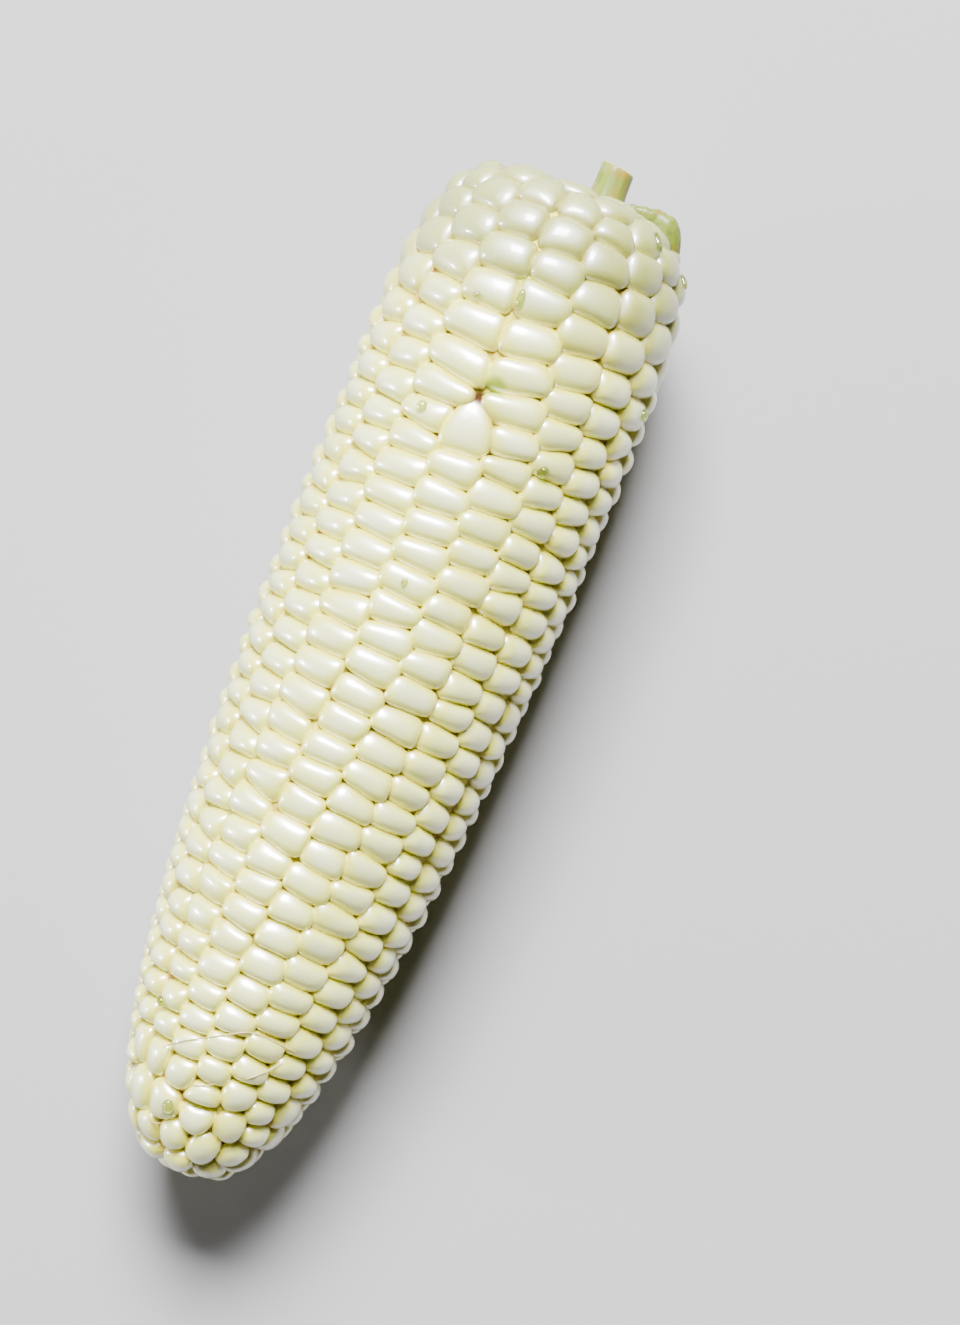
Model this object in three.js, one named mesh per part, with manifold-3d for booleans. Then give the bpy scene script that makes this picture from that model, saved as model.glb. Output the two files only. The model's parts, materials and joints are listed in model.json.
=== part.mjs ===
// A husked ear of white waxy corn, lying on its side.
// The kernels and the cob that carries them grew as one body. The shank, with a scrap of
// husk base, closes its butt end. Units are millimetres, +Z is up, the butt points along +Y.

import * as THREE from "three";
import { mergeVertices } from "three/addons/utils/BufferGeometryUtils.js";
import Module from "manifold-3d";

// ---- Driving dimensions ----

const EAR_LENGTH = 183; // butt kernels to tip kernels
const EAR_RADIUS = 26; // over the kernel crowns at the thickest place

const BUTT = { rounding: 36, alongPower: 2.5, outPower: 5 }; // rounding: length of the swell
const TIP = { taper: 130, alongPower: 2.2, outPower: 3 }; // taper: length that draws in

const ROWS = 18;
const TOP_ROW_DEG = -3; // where the uppermost row stands, from straight up
const NEW_ROW_AT = 46; // the uppermost row starts here, wedged in between its neighbours
const GAP_SHARE = { left: 0.3, right: 0.7 }; // how the neighbours share the missing row's width
const GAP_CLOSES = { from: 20, to: 58 }; // they part between these distances from the butt
const ROW_DRIFT = { degrees: 19, from: 78, to: 168 }; // the upper rows turn aside towards the tip

const PITCH = { butt: 6.9, body: 5.05, fatFrom: 16, fatTo: 44 }; // kernel to kernel in a row
const ROWS_SPAN = { from: 9, to: 158 }; // lengths along the skin between which rows are regular
const BUTT_RING = { name: "butt ring", width: 8.3, pitch: 6.6 }; // beyond them, rings of kernels
const TIP_RING = { name: "tip ring", width: 6.6, pitch: 5.9 };

const WANDER = { start: 0.8, pitch: 0.08, asideDeg: 1.3, ringTurn: 0.16, ringPitch: 0.13 };
const SWELL = 0.18; // how much a crown may stand proud or low

const COLLAR_RADIUS = 8.5; // bare end of the cob, inside the last ring of kernels
const POLE_CAP = 0.8; // kernels this near the very tip meet in one point
const CREVICE_DEPTH = 2.2; // crevices between kernels, below the crowns
const SHOULDER = { depth: 0.35, inset: 1.35 }; // where a kernel's flank turns into its crown
const SHORTEST_EDGE = 0.45; // corners nearer than this are one corner

const REST = { station: 84, flatDepth: 0.3, halfWidthDeg: 30 }; // the crowns that carry the ear

const SHANK = { radius: 3.3, flatness: 0.88, root: -1.4, top: 6.1, aside: 4.2, cutSlope: 0.16 };
const RIBS = { sides: 20, valley: 0.95, crest: 1.03, rootFlare: 0.14 };
const COLLAR = { radius: 7.4, rim: -0.9, top: -0.4, gap: 0.3, chamfer: 0.4, slope: 2 };
const FLAP = { inner: 5.4, reach: 19.6, gap: 0.35, thickness: 0.85, middleDeg: 76, halfDeg: 46 };
const FLAP_LIFT = { from: 8, to: 15, by: 1.3 }; // it stands further off the crowns further out
const FLAP_EDGE = { points: 22, fray: 0.45 };

const TURN = 2 * Math.PI;
const degrees = THREE.MathUtils.degToRad;
const blend = THREE.MathUtils.lerp;
const ease = THREE.MathUtils.smoothstep;
const list = (count, item) => Array.from({ length: count }, (_, i) => item(i));

// ---- A repeatable random draw between -1 and 1: the same words always give the same number ----

function spread(...words) {
  let hash = 0x811c9dc5;
  for (const character of `${words} `.repeat(3)) {
    hash = Math.imul(hash ^ character.charCodeAt(0), 0x01000193);
    hash ^= hash >>> 15;
  }
  return ((hash >>> 0) / 2 ** 32) * 2 - 1;
}

// ---- The skin: the surface of revolution that the crowns touch ----

function skinRadius(along) {
  const butt = 1 - Math.max(0, 1 - along / BUTT.rounding) ** BUTT.alongPower;
  const tip = 1 - Math.max(0, 1 - (EAR_LENGTH - along) / TIP.taper) ** TIP.alongPower;
  return EAR_RADIUS * butt ** (1 / BUTT.outPower) * tip ** (1 / TIP.outPower);
}

// The skin's profile as a table, with finer steps at both ends. skin is the length along the
// profile. height is that length counted in local radii: angle and height together make a
// chart of the skin that keeps its angles.
function skinTable() {
  const steps = 1200;
  const smallest = 0.5;
  const table = [{ along: 0, radius: 0, skin: 0, height: 0 }];
  for (let i = 1; i <= steps; i++) {
    const last = table.at(-1);
    const along = (EAR_LENGTH * (1 - Math.cos((Math.PI * i) / steps))) / 2;
    const radius = i === steps ? 0 : skinRadius(along);
    const step = Math.hypot(along - last.along, radius - last.radius);
    const middle = Math.max((radius + last.radius) / 2, smallest);
    table.push({ along, radius, skin: last.skin + step, height: last.height + step / middle });
  }
  return table;
}

const SKIN = skinTable();

// The skin between the two rows of the table that its value of key lies between.
function skinAt(key, value) {
  const next = Math.max(1, SKIN.findIndex((row) => row[key] >= value));
  const [a, b] = [SKIN[next - 1], SKIN[next]];
  const share = THREE.MathUtils.clamp((value - a[key]) / (b[key] - a[key]), 0, 1);
  const length = Math.hypot(b.along - a.along, b.radius - a.radius);
  return {
    along: blend(a.along, b.along, share),
    radius: blend(a.radius, b.radius, share),
    skin: blend(a.skin, b.skin, share),
    height: blend(a.height, b.height, share),
    normal: { along: (a.radius - b.radius) / length, out: (b.along - a.along) / length },
  };
}

const COLLAR_SKIN = skinAt("radius", COLLAR_RADIUS);
const TIP_SKIN = SKIN.at(-1).skin;
const TIP_HEIGHT = skinAt("skin", TIP_SKIN - POLE_CAP).height;

// A point of the chart, sunk by depth, in the ear's own frame: the axis is Y, the butt's
// kernels end at y = 0 and the tip points along -Y. Angle 0 is +Z, and a quarter turn is +X.
function pointOnEar(angle, height, depth) {
  if (height >= TIP_HEIGHT) return new THREE.Vector3(0, depth - EAR_LENGTH, 0);
  const at = skinAt("height", height);
  const radius = at.radius - depth * at.normal.out;
  const along = at.along - depth * at.normal.along;
  return new THREE.Vector3(radius * Math.sin(angle), -along, radius * Math.cos(angle));
}

// ---- Where the kernels stand ----

// The angle of a row. The two lowest rows stand evenly on both sides of straight down.
function rowAngle(row, along) {
  const top = degrees(TOP_ROW_DEG);
  const toTheRight = row <= ROWS / 2;
  const spacing = toTheRight
    ? (Math.PI - top) / (ROWS / 2 + 0.5)
    : (Math.PI + top) / (ROWS / 2 - 0.5);
  const steps = toTheRight ? row : row - ROWS;
  const angle = top + steps * spacing;
  const nearTop = 1 - Math.abs(angle - top) / Math.PI;
  const gap = 1 - ease(along, GAP_CLOSES.from, GAP_CLOSES.to);
  const share = Math.sign(steps) * (toTheRight ? GAP_SHARE.right : GAP_SHARE.left);
  const drift = degrees(ROW_DRIFT.degrees) * ease(along, ROW_DRIFT.from, ROW_DRIFT.to);
  return angle - (share * gap * nearTop * TURN) / ROWS - (drift * (1 + Math.cos(angle))) / 2;
}

const seedAt = (angle, skin) => ({ angle, height: skinAt("skin", skin).height });

function rowSeeds(row) {
  const seeds = [];
  const halfKernel = row % 2 ? PITCH.butt / 2 : 0;
  const end = TIP_SKIN - (EAR_LENGTH - ROWS_SPAN.to);
  let skin = COLLAR_SKIN.skin + ROWS_SPAN.from + halfKernel + WANDER.start * spread("start", row);
  for (let i = 0; skin < end; i++) {
    const { along } = skinAt("skin", skin);
    const pitch = blend(PITCH.butt, PITCH.body, ease(along, PITCH.fatFrom, PITCH.fatTo));
    const aside = degrees(WANDER.asideDeg) * spread("aside", row, i);
    const ahead = WANDER.pitch * pitch * spread("ahead", row, i);
    const grown = row !== 0 || along > NEW_ROW_AT;
    if (grown) seeds.push(seedAt(rowAngle(row, along) + aside, skin + ahead));
    skin += pitch * (1 + WANDER.pitch * spread("pitch", row, i));
  }
  return seeds;
}

// Rings of kernels from the end of the rows to the end of the ear.
function ringSeeds(from, to, ring) {
  const rings = Math.round(Math.abs(to - from) / ring.pitch);
  return list(rings, (i) => {
    const skin = blend(from, to, (i + 0.5) / rings);
    const around = TURN * skinAt("skin", skin).radius;
    const kernels = Math.max(3, Math.round(around / ring.width));
    return list(kernels, (k) => {
      const turn = (k + 0.5 * i + WANDER.ringTurn * spread(ring.name, "turn", i, k)) / kernels;
      const ahead = WANDER.ringPitch * ring.pitch * spread(ring.name, "ahead", i, k);
      return seedAt(degrees(TOP_ROW_DEG) + TURN * turn, skin + ahead);
    });
  }).flat();
}

function allSeeds() {
  const quarter = 0.25;
  const buttEnd = COLLAR_SKIN.skin + ROWS_SPAN.from - quarter * PITCH.butt;
  const tipEnd = TIP_SKIN - (EAR_LENGTH - ROWS_SPAN.to) + quarter * PITCH.body;
  return [
    ...list(ROWS, rowSeeds).flat(),
    ...ringSeeds(buttEnd, COLLAR_SKIN.skin, BUTT_RING),
    ...ringSeeds(tipEnd, TIP_SKIN, TIP_RING),
  ];
}

// ---- A kernel's outline: the part of the chart nearer to its seed than to any other ----

const wrapped = (angle) => angle - TURN * Math.round(angle / TURN);

// Cuts a convex polygon to the side where across . point <= limit.
function cutPolygon(polygon, across, limit) {
  const kept = [];
  polygon.forEach((a, i) => {
    const b = polygon[(i + 1) % polygon.length];
    const overA = across[0] * a[0] + across[1] * a[1] - limit;
    const overB = across[0] * b[0] + across[1] * b[1] - limit;
    if (overA <= 0) kept.push(a);
    if (overA * overB < 0) {
      const share = overA / (overA - overB);
      kept.push([blend(a[0], b[0], share), blend(a[1], b[1], share)]);
    }
  });
  return kept;
}

// The outline's points count from the seed.
function outlineOf(own, seeds) {
  const low = COLLAR_SKIN.height - own.height;
  const high = TIP_HEIGHT - own.height;
  let polygon = [[-Math.PI, low], [Math.PI, low], [Math.PI, high], [-Math.PI, high]];
  for (const other of seeds) {
    const dx = wrapped(other.angle - own.angle);
    const dy = other.height - own.height;
    if (other === own || Math.abs(dy) > TURN) continue;
    polygon = cutPolygon(polygon, [dx, dy], (dx * dx + dy * dy) / 2);
  }
  return polygon;
}

// ---- The ear as one closed relief ----

// The corners of all outlines, each numbered once however many kernels share it.
class Corners {
  points = [];

  numberOf(point) {
    const found = this.points.findIndex((p) => p.distanceTo(point) < SHORTEST_EDGE);
    if (found >= 0) return found;
    return this.points.push(point) - 1;
  }
}

const withoutRepeats = (ring) => ring.filter((v, i) => v !== ring[(i + 1) % ring.length]);
const mean = (values) => values.reduce((sum, value) => sum + value, 0) / values.length;

function kernelOutlines() {
  const seeds = allSeeds();
  const corners = new Corners();
  const kernels = seeds.map((own, number) => {
    const outline = outlineOf(own, seeds);
    const carries = Math.abs(wrapped(own.angle - Math.PI)) < degrees(REST.halfWidthDeg);
    const ring = outline.map(([dx, dy]) =>
      corners.numberOf(pointOnEar(own.angle + dx, own.height + dy, CREVICE_DEPTH)),
    );
    return {
      ring: withoutRepeats(ring),
      angle: own.angle + mean(outline.map((p) => p[0])),
      height: own.height + mean(outline.map((p) => p[1])),
      swell: carries ? 0 : SWELL * spread("swell", number),
    };
  });
  return { corners: corners.points, kernels: kernels.filter((k) => k.ring.length > 2) };
}

function kernelsGeometry() {
  const { corners, kernels } = kernelOutlines();
  const points = [...corners];
  const faces = [];
  for (const { ring, angle, height, swell } of kernels) {
    const foot = pointOnEar(angle, height, CREVICE_DEPTH);
    const middle = pointOnEar(angle, height, SHOULDER.depth - swell);
    const lift = middle.clone().sub(foot);
    const shoulders = ring.map((corner) => {
      const raised = corners[corner].clone().add(lift);
      const inset = Math.min(0.5, SHOULDER.inset / raised.distanceTo(middle));
      return raised.lerp(middle, inset);
    });
    const first = points.length;
    const crown = first + ring.length;
    points.push(...shoulders, pointOnEar(angle, height, -swell));
    ring.forEach((corner, i) => {
      const next = (i + 1) % ring.length;
      faces.push([ring[next], corner, first + i], [first + next, ring[next], first + i]);
      faces.push([first + next, first + i, crown]);
    });
  }
  closeButt(points, faces);
  return geometryOf(points, faces);
}

// The bare end of the cob: the relief's open edge, closed to one point on the axis.
function closeButt(points, faces) {
  const edges = faces.flatMap((face) => face.map((v, i) => [v, face[(i + 1) % 3]]));
  const known = new Set(edges.map(([a, b]) => `${a} ${b}`));
  const open = edges.filter(([a, b]) => !known.has(`${b} ${a}`));
  const middle = points.push(new THREE.Vector3(0, points[open[0][0]].y, 0)) - 1;
  open.forEach(([a, b]) => faces.push([b, a, middle]));
}

function geometryOf(points, faces) {
  const geometry = new THREE.BufferGeometry();
  const positions = points.flatMap((p) => p.toArray());
  geometry.setAttribute("position", new THREE.Float32BufferAttribute(positions, 3));
  geometry.setIndex(faces.flat());
  return geometry;
}

// ---- The shank and its scrap of husk base ----

const wasm = await Module();
wasm.setup();

function solidFrom(geometry) {
  const bare = geometry.clone();
  bare.deleteAttribute("normal");
  bare.deleteAttribute("uv");
  const merged = mergeVertices(bare, 1e-4);
  return new wasm.Manifold(
    new wasm.Mesh({
      numProp: 3,
      vertProperties: merged.attributes.position.array,
      triVerts: new Uint32Array(merged.index.array),
    }),
  );
}

function geometryFrom(solid) {
  const mesh = solid.getMesh();
  const geometry = new THREE.BufferGeometry();
  geometry.setAttribute("position", new THREE.Float32BufferAttribute(mesh.vertProperties, 3));
  geometry.setIndex(new THREE.BufferAttribute(mesh.triVerts, 1));
  return geometry;
}

// The bare end's collar, filling it inside the last ring of kernels.
function collarSolid() {
  const segments = 28;
  const floor = -COLLAR_SKIN.along - CREVICE_DEPTH + COLLAR.gap;
  const profile = [
    [0, floor],
    [COLLAR.radius - COLLAR.gap, floor],
    [COLLAR.radius, COLLAR.rim - COLLAR.chamfer],
    [COLLAR.radius - COLLAR.chamfer, COLLAR.rim],
    [COLLAR.radius - COLLAR.slope, COLLAR.top],
    [0, COLLAR.top],
  ];
  const points = profile.map(([radius, height]) => new THREE.Vector2(radius, height));
  return solidFrom(new THREE.LatheGeometry(points, segments));
}

// The stub that is left where the ear was snapped off its stalk: ribbed, and cut aslant.
function stubSolid() {
  const section = new THREE.Shape();
  for (let i = 0; i < RIBS.sides; i++) {
    const angle = (TURN * i) / RIBS.sides;
    const radius = SHANK.radius * (i % 2 ? RIBS.valley : RIBS.crest);
    section.lineTo(radius * Math.cos(angle), SHANK.flatness * radius * Math.sin(angle));
  }
  const depth = SHANK.top - SHANK.root;
  const stub = new THREE.ExtrudeGeometry(section, { depth, bevelEnabled: false, steps: 3 });
  const position = stub.getAttribute("position");
  for (let i = 0; i < position.count; i++) {
    const [x, y, z] = [position.getX(i), position.getY(i), position.getZ(i)];
    const flare = 1 + RIBS.rootFlare * (1 - z / depth) ** 2;
    position.setXYZ(i, x * flare, y * flare, z - (SHANK.cutSlope * x * z) / depth);
  }
  stub.rotateX(-Math.PI / 2).translate(SHANK.aside, SHANK.root, 0);
  return solidFrom(stub);
}

// The husk base follows the butt's crowns at a distance that grows outwards.
function flapShell() {
  const bands = 8;
  const segments = 48;
  const beyond = 2;
  const layer = (thickness) =>
    list(bands + 1, (i) => {
      const radius = blend(FLAP.inner, FLAP.reach + beyond, i / bands);
      const { along, normal } = skinAt("radius", radius);
      const lift = FLAP_LIFT.by * ease(radius, FLAP_LIFT.from, FLAP_LIFT.to);
      const offset = FLAP.gap + lift + thickness;
      return new THREE.Vector2(radius + offset * normal.out, -offset * normal.along - along);
    });
  const under = layer(0);
  const over = layer(FLAP.thickness).reverse();
  return solidFrom(new THREE.LatheGeometry([...under, ...over, under[0]], segments));
}

// One lobe of it is left, widest in its middle and frayed along its edge.
function flapSolid() {
  const outline = new THREE.Shape();
  for (let i = 0; i <= FLAP_EDGE.points; i++) {
    const share = (2 * i) / FLAP_EDGE.points - 1;
    const fullness = Math.sqrt(1 - Math.abs(share) ** 3);
    const fray = FLAP_EDGE.fray * spread("fray", i);
    const reach = FLAP.inner + (FLAP.reach - FLAP.inner + fray) * fullness;
    const angle = degrees(FLAP.middleDeg + share * FLAP.halfDeg);
    outline.lineTo(reach * Math.sin(angle), -reach * Math.cos(angle));
  }
  const depth = EAR_RADIUS;
  const lobe = new THREE.ExtrudeGeometry(outline, { depth, bevelEnabled: false, steps: 1 });
  lobe.rotateX(-Math.PI / 2).translate(0, -depth / 2, 0);
  return flapShell().intersect(solidFrom(lobe));
}

function shankGeometry() {
  return geometryFrom(collarSolid().add(stubSolid()).add(flapSolid()));
}

// ---- The ear laid down ----

// Turns the ear so that its skin is level at the rest station, which is under its weight,
// flattens the crowns that carry it, and puts the origin under the middle of the whole ear.
function layDown(geometries) {
  const step = 4;
  const fall = skinRadius(REST.station - step) - skinRadius(REST.station + step);
  const box = new THREE.Box3();
  geometries.forEach((geometry) => {
    geometry.rotateX(Math.atan2(fall, 2 * step));
    geometry.computeBoundingBox();
    box.union(geometry.boundingBox);
  });
  const middle = box.getCenter(new THREE.Vector3());
  geometries.forEach((geometry) => {
    geometry.translate(-middle.x, -middle.y, -box.min.z - REST.flatDepth);
    const position = geometry.getAttribute("position");
    for (let i = 0; i < position.count; i++) position.setZ(i, Math.max(0, position.getZ(i)));
  });
}

const waxyWhite = new THREE.MeshStandardMaterial({ color: "#d9d6b5", roughness: 0.25 });
const paleGreen = new THREE.MeshStandardMaterial({ color: "#bbbf80", roughness: 0.6 });

const kernels = new THREE.Mesh(kernelsGeometry(), waxyWhite);
kernels.name = "kernels";

const shank = new THREE.Mesh(shankGeometry(), paleGreen);
shank.name = "shank";

layDown([kernels.geometry, shank.geometry]);

const ear = new THREE.Group();
ear.add(kernels, shank);

export default ear;
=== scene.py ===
"""Dresses a husked ear of white waxy corn that lies on its side.

The packed frame gives every kernel's outline on the ear. Each kernel is grown from its own
outline as a plump, slightly translucent grain, over a yellow cob that shows in the crevices.
The shank, a scrap of husk base, a few strands of silk and some drops of water finish it.
"""

import json
import math
import random

import bmesh
import bpy
from bpy.props import FloatProperty, FloatVectorProperty, IntProperty, PointerProperty
from mathutils import Matrix, Vector, noise
from mathutils.bvhtree import BVHTree

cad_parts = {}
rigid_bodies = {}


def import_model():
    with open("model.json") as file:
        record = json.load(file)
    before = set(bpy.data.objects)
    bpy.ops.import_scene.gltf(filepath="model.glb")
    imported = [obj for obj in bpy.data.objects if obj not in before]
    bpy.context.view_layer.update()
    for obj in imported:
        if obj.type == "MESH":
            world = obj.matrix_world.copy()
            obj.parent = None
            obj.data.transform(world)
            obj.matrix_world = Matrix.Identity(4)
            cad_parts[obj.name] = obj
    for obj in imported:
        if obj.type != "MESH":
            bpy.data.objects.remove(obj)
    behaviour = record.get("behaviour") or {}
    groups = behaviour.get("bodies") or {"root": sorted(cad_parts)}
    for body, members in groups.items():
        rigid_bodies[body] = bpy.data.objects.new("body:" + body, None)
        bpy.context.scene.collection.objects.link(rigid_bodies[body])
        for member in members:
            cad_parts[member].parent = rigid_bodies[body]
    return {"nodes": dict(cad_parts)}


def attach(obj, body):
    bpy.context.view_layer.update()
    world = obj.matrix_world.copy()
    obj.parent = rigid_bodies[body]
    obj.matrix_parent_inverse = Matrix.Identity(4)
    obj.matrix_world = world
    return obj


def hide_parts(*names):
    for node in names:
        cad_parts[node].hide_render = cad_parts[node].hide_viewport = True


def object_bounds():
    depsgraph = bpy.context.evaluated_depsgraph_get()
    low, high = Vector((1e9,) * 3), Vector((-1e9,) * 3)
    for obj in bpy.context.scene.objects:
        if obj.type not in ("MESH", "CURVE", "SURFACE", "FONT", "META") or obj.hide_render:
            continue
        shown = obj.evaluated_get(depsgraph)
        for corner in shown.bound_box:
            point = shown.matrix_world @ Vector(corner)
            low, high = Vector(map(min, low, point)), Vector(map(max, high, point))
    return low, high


bl_info = {
    "name": "Fresh Waxy Corn Ear",
    "version": (1, 0, 0),
    "blender": (4, 5, 0),
    "location": "View3D > Sidebar > Corn Ear",
    "description": "Kernels, cob, shank, silk and dew for an ear of white waxy corn",
    "category": "Add Mesh",
}

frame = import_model()
CAD_LOW, CAD_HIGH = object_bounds()
BODY = "root"
KERNELS_NODE = "kernels"
SHANK_NODE = "shank"

MM = 0.001
UP = Vector((0, 0, 1))
BUTTWARDS = Vector((0, 1, 0))


def srgb(code):
    """The linear colour of an sRGB hex code."""
    values = [int(code[i : i + 2], 16) / 255 for i in (1, 3, 5)]
    return [v / 12.92 if v <= 0.04045 else ((v + 0.055) / 1.055) ** 2.4 for v in values]


def colour_property(name, description, code):
    """A colour that a user may change, from its sRGB hex code."""
    return FloatVectorProperty(
        name=name, description=description, default=srgb(code), subtype="COLOR", min=0, max=1
    )


def length_property(name, description, millimetres):
    """A length that a user may change, from its value in millimetres."""
    return FloatProperty(
        name=name, description=description, default=millimetres * MM, unit="LENGTH", precision=5
    )


def ease(value, low, high):
    """0 up to low, 1 from high on, and a smooth step between them."""
    share = min(1.0, max(0.0, (value - low) / (high - low)))
    return share * share * (3 - 2 * share)


def blend(a, b, share):
    """a at share 0, b at share 1, and evenly between them."""
    return a + (b - a) * share


# ---- Sizes and colours that a user would change ----


class KernelSettings(bpy.types.PropertyGroup):
    """Shape and colour of the kernels."""

    dome: length_property("Dome", "Height of a body kernel's rounded crown", 1.8)
    flank_dome: length_property("Flank dome", "The same low on the ear's two flanks", 3.0)
    tip_dome: length_property("Tip dome", "The same for the beadlike kernels of the tip", 2.4)
    root: length_property("Root", "How far below its crown a kernel is rooted", 4.6)
    squeeze: length_property("Squeeze", "How far body kernels press past their outlines", 0.2)
    tip_gap: length_property("Tip gap", "Half the space between two tip kernels", 0.06)
    tip_reach: length_property("Tip reach", "Length of the tip's beadlike stretch", 48)
    # Crown, shoulder, flank and foot follow a kernel's depth: its own milky crown and yellower
    # sides, with painted shade darkening the flank and foot down in the crevices.
    crown: colour_property("Crown", "Milky starch under the crown's clear skin", "#d5d79e")
    shoulder: colour_property("Shoulder", "Where the crown turns into the flank", "#d2d460")
    flank: colour_property("Flank", "Sides of a kernel, down in the crevices", "#cac238")
    foot: colour_property("Foot", "Where a kernel sits in the cob", "#b09032")
    dull: colour_property("Dull", "Tint of the older, greyer kernels at the butt", "#aaad52")
    lime: colour_property("Lime", "Young green patches by the misplaced kernel", "#8c9e00")
    stain: colour_property("Stain", "Brown pit beside the misplaced kernel", "#5e3404")
    seed: IntProperty(name="Seed", description="Draws the kernels' small differences", default=7)


class CobSettings(bpy.types.PropertyGroup):
    """The cob that shows between the kernels."""

    depth: length_property("Depth", "How far the cob lies below the crevice corners", 0.1)
    chaff: colour_property("Chaff", "Pale glumes that line the crevices", "#c6bc42")
    bruise: colour_property("Bruise", "Browned spots in the crevices", "#8d5f24")
    pit: colour_property("Pit", "Dark bottom of the pit beside the misplaced kernel", "#3c2402")


class ShankSettings(bpy.types.PropertyGroup):
    """The snapped shank and its scrap of husk base."""

    radius: length_property("Radius", "Half the stub's width", 2.95)
    aside: length_property("Aside", "How far the stub stands from the ear's axis", 4.2)
    height: length_property("Height", "How far the stub stands beyond the butt", 5.7)
    tissue: colour_property("Tissue", "Fresh pale green plant tissue", "#606c1a")
    ochre: colour_property("Ochre", "Where the tissue dries", "#806a16")
    cut: colour_property("Cut", "Pith at the snapped end", "#a8a274")
    blush: colour_property("Blush", "Greyed skin on the stub's left side", "#8c8460")


class HuskSettings(bpy.types.PropertyGroup):
    """The scrap of husk base on the butt."""

    start: length_property("Start", "From the ear's axis to the end beside the stub", 5.2)
    reach: length_property("Reach", "From the ear's axis to the far end", 19.8)
    height: length_property("Height", "How far its fold rises above the ear's axis", 4.6)
    droop: length_property("Droop", "How far the folded lip hangs down", 1.3)
    thickness: length_property("Thickness", "Thickness of the sheet", 0.45)
    green: colour_property("Green", "Fresh part of the husk", "#5a6416")
    straw: colour_property("Straw", "Veins and dry edge of the husk", "#746018")


class SilkSettings(bpy.types.PropertyGroup):
    """Strands of silk left on the ear."""

    radius: length_property("Radius", "Half a strand's thickness", 0.13)
    colour: colour_property("Colour", "Fresh silk, pale straw", "#b4a662")


class DewSettings(bpy.types.PropertyGroup):
    """Drops of water on the kernels."""

    radius: length_property("Radius", "Radius of a middling drop", 1.0)
    # Painted reflection: the green tint stands for leaves that the water would mirror.
    colour: colour_property("Colour", "Water that mirrors green leaves nearby", "#e2f070")
    # Painted shade: the darker outline where a drop meets the kernel.
    edge: colour_property("Edge", "The drop's darker outline", "#8ca02c")


class StageSettings(bpy.types.PropertyGroup):
    """Floor, light and camera."""

    floor: colour_property("Floor", "Plain pale studio floor", "#93918a")
    distance: length_property("Distance", "Camera to the ear's axis", 632)
    lean: FloatProperty(
        name="Lean",
        description="How far the butt leans to the right in the camera's view",
        default=math.radians(22.5),
        subtype="ANGLE",
    )
    lens: FloatProperty(name="Lens", description="Focal length in millimetres", default=100)


SETTINGS = {
    "corn_kernels": KernelSettings,
    "corn_cob": CobSettings,
    "corn_shank": ShankSettings,
    "corn_husk": HuskSettings,
    "corn_silk": SilkSettings,
    "corn_dew": DewSettings,
    "corn_stage": StageSettings,
}


# ---- Meshes and materials in general ----


def merged_copy(node):
    """A CAD node's mesh with its loose triangles joined."""
    bm = bmesh.new()
    bm.from_mesh(frame["nodes"][node].data)
    bmesh.ops.remove_doubles(bm, verts=bm.verts, dist=0.001 * MM)
    bm.verts.index_update()
    return bm


def finish_piece(bm, name, materials, stands_for=(), levels=0):
    """Makes a bmesh a smooth-shaded object that rides on the ear, and frees it."""
    for face in bm.faces:
        face.smooth = True
    mesh = bpy.data.meshes.new(name)
    bm.to_mesh(mesh)
    bm.free()
    piece = bpy.data.objects.new(name, mesh)
    bpy.context.collection.objects.link(piece)
    for material in materials:
        mesh.materials.append(material)
    if levels:
        smoother = piece.modifiers.new("Smooth", "SUBSURF")
        smoother.levels = levels
        smoother.render_levels = levels
    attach(piece, BODY)
    if stands_for:
        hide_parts(*stands_for)


def new_material(name):
    """An empty node material with its output and a Principled shader."""
    material = bpy.data.materials.new(name)
    material.use_nodes = True
    tree = material.node_tree
    tree.nodes.clear()
    output = add_node(tree, "OutputMaterial")
    shader = add_node(tree, "BsdfPrincipled")
    tree.links.new(shader.outputs["BSDF"], output.inputs["Surface"])
    return material, tree, shader


def add_node(tree, kind, inputs=None, stops=None, **settings):
    """Adds a node. An input's value is a constant, or another node's output to link."""
    node = tree.nodes.new("ShaderNode" + kind)
    for key, value in settings.items():
        setattr(node, key, value)
    if stops:
        ramp = node.color_ramp.elements
        ramp.remove(ramp[1])
        for number, (place, colour) in enumerate(stops):
            element = ramp.new(place) if number else ramp[0]
            element.position = place
            element.color = (*colour, 1)
    for key, value in (inputs or {}).items():
        set_input(tree, node.inputs[key], value)
    return node


def set_input(tree, socket, value):
    """Links a node's output to a socket, or sets the socket to a constant."""
    if isinstance(value, bpy.types.NodeSocket):
        tree.links.new(value, socket)
    elif socket.type == "RGBA":
        socket.default_value = (*value, 1)
    else:
        socket.default_value = value


# ---- Reading the ear from the frame ----


CREVICE_DEPTH = 2.2 * MM  # of the frame's relief, below the crowns
SHOULDER_EDGES = 5


class Seat:
    """One kernel's place: its crevice corners in order, and the way it grows at each."""

    def __init__(self, corners, crown):
        self.corners = [v.co.copy() for v in corners]
        self.keys = [v.index for v in corners]
        self.crown = crown.co.copy()
        self.middle = sum(self.corners, Vector()) / len(corners)
        ring = zip(self.corners, self.corners[1:] + self.corners[:1])
        self.up = sum(((a - self.middle).cross(b - self.middle) for a, b in ring), Vector())
        self.up.normalize()
        self.across = BUTTWARDS.cross(self.up).normalized()
        self.along = self.up.cross(self.across)


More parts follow.
